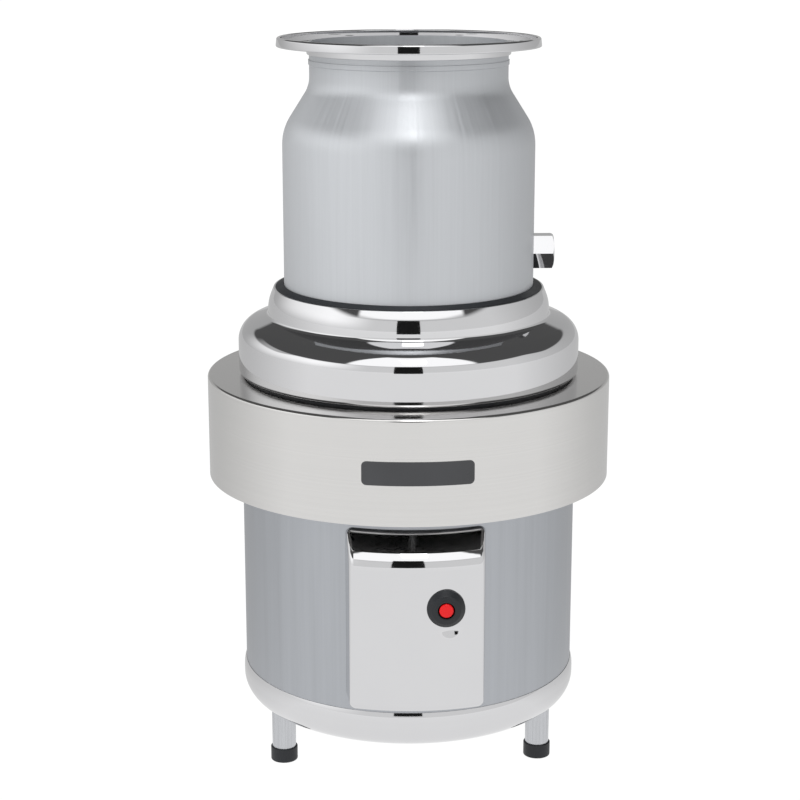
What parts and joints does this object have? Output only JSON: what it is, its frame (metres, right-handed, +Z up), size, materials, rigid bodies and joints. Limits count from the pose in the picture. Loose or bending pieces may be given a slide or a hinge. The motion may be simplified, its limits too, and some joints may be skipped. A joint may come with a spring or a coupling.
{
  "type": "kitchen garbage disposal",
  "caption": "Tall three-legged food waste disposer with a flanged metal hopper, bright domed grind housing, wide trim band and cylindrical motor with a reset button box.",
  "frame": {"origin": "centre of the mounting flange's gasket seat, on the throat's axis, 636 mm above the floor", "axes": "+Z up along the shaft and throat, -Y the front with the terminal cover, +Y the drain outlet, +X the water inlet"},
  "size_m": [0.3566, 0.3849, 0.64],
  "materials": {
    "polished_metal": "mirror polished",
    "satin_aluminium": "satin brushed",
    "band_steel": "bright polished with fine brushing",
    "shell_steel": "silver satin paint",
    "leg_steel": "brushed",
    "plate_dark": "satin dark enamel",
    "cast_aluminium": "as cast",
    "wear_steel": "ground",
    "bearing_steel": "ground",
    "fastener_steel": "zinc bright",
    "core_iron": "dark",
    "winding_copper": "enamelled copper",
    "brass_fitting": "bright",
    "black_rubber": "matt",
    "button_red": "gloss",
    "black_plastic": "matt",
    "box_steel": "zinc plated"
  },
  "bodies": {
    "root": {"mounting_flange": "polished_metal", "hopper": "satin_aluminium", "water_inlet_fitting": "polished_metal", "hopper_mount_ring": "black_rubber", "grind_housing": "polished_metal", "shredder_ring": "wear_steel", "housing_gasket": "black_rubber", "housing_bolts": "fastener_steel", "trim_band": "band_steel", "name_plate": "plate_dark", "drain_chamber": "cast_aluminium", "drain_gasket": "black_rubber", "drain_outlet": "wear_steel", "drain_bolts": "fastener_steel", "shaft_seal": "black_rubber", "upper_bearing_cup": "bearing_steel", "motor_shell": "shell_steel", "conduit_bushing": "fastener_steel", "stator_frame": "core_iron", "stator_core": "core_iron", "stator_windings": "winding_copper", "lower_end_frame": "polished_metal", "lower_bearing_cup": "bearing_steel", "preload_washer": "bearing_steel", "bearing_cover": "cast_aluminium", "pan_screws": "fastener_steel", "motor_through_bolts": "fastener_steel", "leg_left": "leg_steel", "leg_right": "leg_steel", "leg_rear": "leg_steel", "foot_left": "black_rubber", "foot_right": "black_rubber", "foot_rear": "black_rubber", "terminal_cover": "polished_metal", "terminal_cover_gasket": "black_rubber", "terminal_box": "box_steel", "overload_protector": "black_plastic", "button_boot": "black_rubber", "start_capacitor": "black_plastic", "capacitor_clip": "fastener_steel", "terminal_block": "black_plastic", "ground_screw": "brass_fitting"},
    "rotor": {"shaft": "bearing_steel", "rotor_core": "core_iron", "rotor_cage": "cast_aluminium", "cooling_fan": "cast_aluminium", "upper_bearing_cone": "bearing_steel", "lower_bearing_cone": "bearing_steel", "bearing_lock_nut": "bearing_steel", "flinger": "bearing_steel", "turntable": "wear_steel", "turntable_nut": "wear_steel", "lug_pins": "wear_steel"},
    "lug_1": {"swivel_lug_1": "wear_steel"},
    "lug_2": {"swivel_lug_2": "wear_steel"},
    "upper_roller_set": {"upper_bearing_rollers": "bearing_steel", "upper_bearing_cage": "bearing_steel"},
    "lower_roller_set": {"lower_bearing_rollers": "bearing_steel", "lower_bearing_cage": "bearing_steel"},
    "button": {"reset_button": "button_red"}
  },
  "joints": [
    {"name": "shaft_spin", "type": "hinge", "parent": "root", "child": "rotor", "pos_m": [0, 0, -0.2685], "axis": [0, 0, 1], "continuous": true},
    {"name": "lug_1_swivel", "type": "hinge", "parent": "rotor", "child": "lug_1", "pos_m": [0.07, 0, -0.261], "axis": [0, 0, 1], "continuous": true},
    {"name": "lug_2_swivel", "type": "hinge", "parent": "rotor", "child": "lug_2", "pos_m": [-0.07, 0, -0.261], "axis": [0, 0, 1], "continuous": true},
    {"name": "upper_rollers_orbit", "type": "hinge", "parent": "root", "child": "upper_roller_set", "pos_m": [0, 0, -0.36], "axis": [0, 0, 1], "continuous": true},
    {"name": "lower_rollers_orbit", "type": "hinge", "parent": "root", "child": "lower_roller_set", "pos_m": [0, 0, -0.57], "axis": [0, 0, 1], "continuous": true},
    {"name": "reset_press", "type": "slide", "parent": "root", "child": "button", "axis": [0, -1, 0], "range_m": [0, 0.003]}
  ],
  "couplings": [
    {"joint": "upper_rollers_orbit", "follows": "shaft_spin", "ratio": 0.418},
    {"joint": "lower_rollers_orbit", "follows": "shaft_spin", "ratio": 0.4158}
  ]
}
